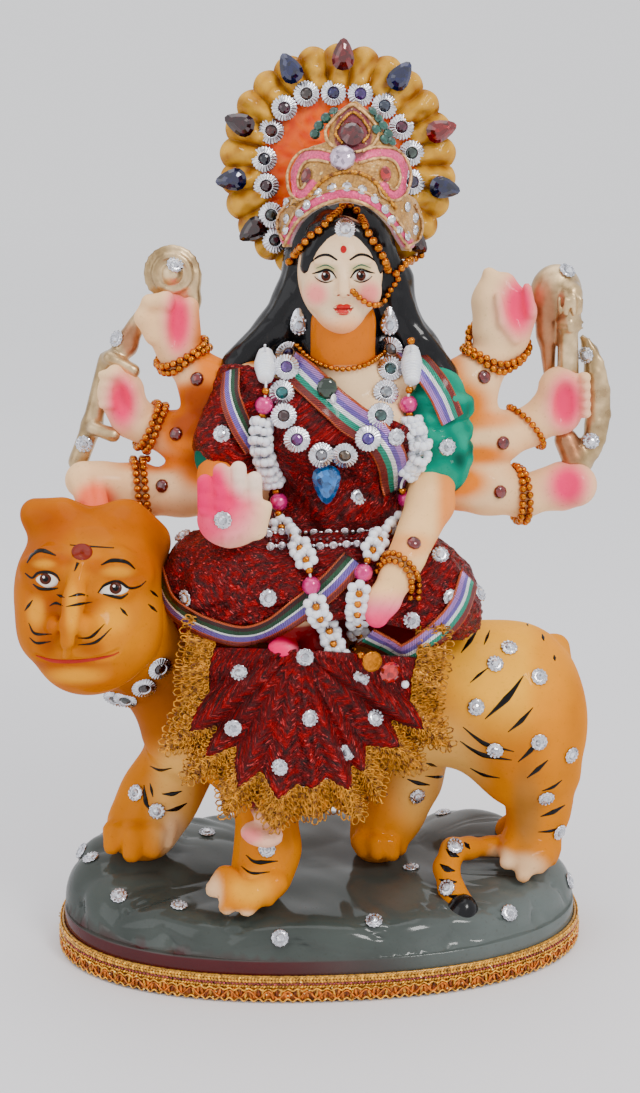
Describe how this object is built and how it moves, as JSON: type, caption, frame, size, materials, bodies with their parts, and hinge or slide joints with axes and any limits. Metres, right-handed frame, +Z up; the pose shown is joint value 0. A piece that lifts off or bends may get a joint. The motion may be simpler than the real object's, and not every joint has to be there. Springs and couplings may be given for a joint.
{
  "type": "durga figure",
  "caption": "Painted plaster figure of an eight-armed goddess seated over a tiger on an oval rock plinth, dressed in cloth, beads and glued stones.",
  "frame": {"origin": "middle of the plinth's underside, on the surface it stands on", "axes": "+Z up, the figure faces -Y, the tiger walks towards -X"},
  "size_m": [0.1954, 0.1114, 0.2939],
  "materials": {
    "painted_plaster": "glossy enamel over plaster",
    "red_cloth": "crinkled metallic cloth",
    "ribbon": "striped metallic ribbon",
    "gold_braid": "metallic thread braid",
    "crown": "painted, gold and pink",
    "gold_beads": "polished",
    "white_beads": "glossy",
    "silver_settings": "polished",
    "coloured_stones": "faceted, glossy"
  },
  "bodies": {
    "root": {"base_trim": "gold_braid", "bracelet_1": "gold_beads", "bracelet_2": "gold_beads", "bracelet_3": "gold_beads", "bracelet_4": "gold_beads", "bracelet_5": "gold_beads", "bracelet_6": "gold_beads", "bracelet_front": "gold_beads", "cabochon_1": "coloured_stones", "cabochon_2": "coloured_stones", "cabochon_3": "coloured_stones", "cabochon_4": "coloured_stones", "cabochon_5": "coloured_stones", "cabochon_6": "coloured_stones", "cabochon_7": "coloured_stones", "choker": "gold_beads", "crown": "crown", "disc_necklace": "silver_settings", "earring_left": "silver_settings", "earring_right": "silver_settings", "forehead_chain": "gold_beads", "garland_left": "white_beads", "garland_right": "white_beads", "garland_tassel": "gold_beads", "halo_jewel_1": "coloured_stones", "halo_jewel_2": "coloured_stones", "halo_jewel_3": "coloured_stones", "halo_jewel_4": "coloured_stones", "halo_jewel_5": "coloured_stones", "halo_jewel_6": "coloured_stones", "halo_jewel_7": "coloured_stones", "halo_jewel_8": "coloured_stones", "halo_jewel_9": "coloured_stones", "halo_stone_chain": "silver_settings", "nose_chain": "gold_beads", "oval_stone": "coloured_stones", "pendant": "coloured_stones", "plaster_idol": "painted_plaster", "pleated_skirt": "red_cloth", "ribbon_diagonal": "ribbon", "ribbon_lap_left": "ribbon", "ribbon_lap_right": "ribbon", "ribbon_shoulder": "ribbon", "ribbon_side": "ribbon", "sari_lap": "red_cloth", "sari_wrap": "red_cloth", "skirt_lace": "gold_braid", "sticker_1": "silver_settings", "sticker_2": "silver_settings", "sticker_3": "silver_settings", "sticker_4": "silver_settings", "sticker_5": "silver_settings", "sticker_6": "silver_settings", "sticker_7": "silver_settings", "sticker_8": "silver_settings", "stone_belt": "silver_settings", "tiger_collar": "silver_settings"}
  },
  "joints": []
}
